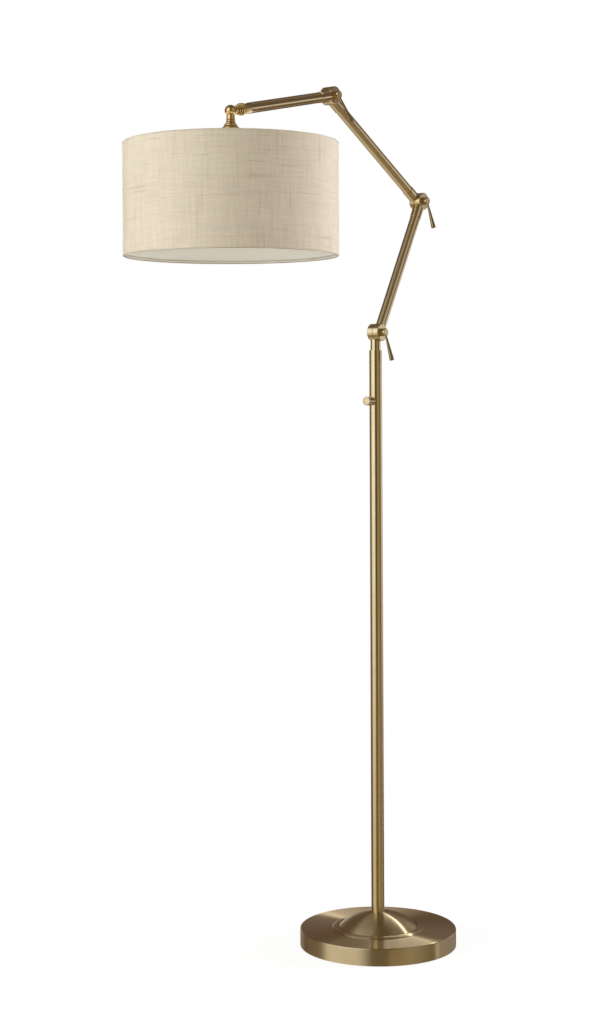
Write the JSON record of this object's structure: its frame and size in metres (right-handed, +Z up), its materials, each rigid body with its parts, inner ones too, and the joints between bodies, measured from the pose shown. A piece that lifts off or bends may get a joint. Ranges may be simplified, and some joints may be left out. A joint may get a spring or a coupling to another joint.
{
  "type": "adjustable arm floor lamp",
  "caption": "Floor lamp with a round weighted base, slim pole, jointed three-section arm with lever clamps, and a linen drum shade on a swivel knuckle.",
  "frame": {"origin": "on the floor, at the centre of the round base's resting face", "axes": "+Z up along the pole; the arm works in planes parallel to XZ and the shade reaches towards -X; the clamp levers are on the -Y side; all arm pivots are parallel to Y"},
  "size_m": [0.8151, 0.381, 1.6605],
  "materials": {
    "brass_spun": "antique brass, circular-brushed satin",
    "brass_tube": "antique brass plate, satin lengthwise-polished tube",
    "brass_cast": "antique brass plate, satin casting",
    "brass_turned": "antique brass, lathe-turned and lacquered",
    "cast_weight": "rough sand casting",
    "zinc_steel": "zinc-plated",
    "felt_pad": "pressed felt",
    "black_plastic": "moulded, matt",
    "fibre_washer": "pressed fibre",
    "socket_ceramic": "glazed porcelain look",
    "white_plastic": "moulded, satin",
    "bulb_screw": "rolled thread",
    "bulb_frosted": "frosted",
    "white_wire": "white powder coat",
    "shade_liner": "satin styrene sheet",
    "shade_linen": "natural slubbed linen weave"
  },
  "bodies": {
    "stand": {"base_cover": "brass_spun", "base_weight": "cast_weight", "base_pad": "felt_pad", "cord_inlet": "black_plastic", "base_stud": "zinc_steel", "base_washer": "zinc_steel", "base_nut": "zinc_steel", "pole_foot": "zinc_steel", "pole": "brass_tube", "pole_bush": "black_plastic", "post_hub": "brass_cast", "switch_body": "black_plastic", "switch_bezel": "brass_cast", "lower_clamp_bolt": "zinc_steel"},
    "switch": {"switch_shaft": "zinc_steel", "switch_knob": "brass_cast"},
    "lower_arm": {"lower_arm_foot_hub": "brass_cast", "lower_arm_tube": "brass_tube", "lower_arm_head_hub": "brass_cast", "lower_friction_washer": "fibre_washer"},
    "lower_clamp": {"lower_clamp_knob": "brass_turned", "lower_clamp_lever": "brass_turned", "lower_knob_washer": "brass_turned"},
    "middle_arm": {"middle_arm_foot_hub": "brass_cast", "middle_arm_tube": "brass_tube", "middle_arm_head_hub": "brass_cast", "middle_clamp_bolt": "zinc_steel", "upper_clamp_bolt": "zinc_steel", "middle_friction_washer": "fibre_washer"},
    "middle_clamp": {"middle_clamp_knob": "brass_turned", "middle_clamp_lever": "brass_turned", "middle_knob_washer": "brass_turned"},
    "upper_arm": {"upper_arm_hub": "brass_cast", "upper_arm_tube": "brass_tube", "upper_arm_ferrule": "brass_cast", "arm_collar": "brass_turned", "knuckle_arm_half": "brass_turned", "upper_friction_washer": "fibre_washer"},
    "upper_clamp": {"upper_clamp_knob": "brass_turned", "upper_clamp_lever": "brass_turned", "upper_knob_washer": "brass_turned"},
    "shade": {"knuckle_shade_half": "brass_turned", "knuckle_screw": "brass_turned", "shade_neck": "brass_turned", "shade_bell": "brass_turned", "socket_cap": "brass_turned", "socket_body": "socket_ceramic", "socket_ring_nut": "white_plastic", "bulb_base": "bulb_screw", "bulb_glass": "bulb_frosted", "shade_spider": "white_wire", "shade_bottom_ring": "white_wire", "shade_liner": "shade_liner", "shade_cloth": "shade_linen"}
  },
  "joints": [
    {"name": "lower_arm_pivot", "type": "hinge", "parent": "stand", "child": "lower_arm", "pos_m": [0, -0.0039, 1.1988], "axis": [0, 1, 0], "range_deg": [-85, 45]},
    {"name": "middle_arm_pivot", "type": "hinge", "parent": "lower_arm", "child": "middle_arm", "pos_m": [0.15073, -0.0039, 1.4674], "axis": [0, -1, 0], "range_deg": [-100, 10]},
    {"name": "upper_arm_pivot", "type": "hinge", "parent": "middle_arm", "child": "upper_arm", "pos_m": [-0.15177, -0.0039, 1.64345], "axis": [0, 1, 0], "range_deg": [-40, 80]},
    {"name": "shade_knuckle", "type": "hinge", "parent": "upper_arm", "child": "shade", "pos_m": [-0.45695, -0.0078, 1.57859], "axis": [0, -1, 0], "range_deg": [-60, 20]},
    {"name": "lower_clamp_turn", "type": "hinge", "parent": "stand", "child": "lower_clamp", "pos_m": [0, -0.0039, 1.1988], "axis": [0, -1, 0], "range_deg": [0, 90]},
    {"name": "middle_clamp_turn", "type": "hinge", "parent": "middle_arm", "child": "middle_clamp", "pos_m": [0.15073, -0.0039, 1.4674], "axis": [0, -1, 0], "range_deg": [0, 90]},
    {"name": "upper_clamp_turn", "type": "hinge", "parent": "middle_arm", "child": "upper_clamp", "pos_m": [-0.15177, -0.0039, 1.64345], "axis": [0, -1, 0], "range_deg": [0, 90]},
    {"name": "switch_turn", "type": "hinge", "parent": "stand", "child": "switch", "pos_m": [0, 0, 1.0644], "axis": [-1, 0, 0], "continuous": true}
  ]
}
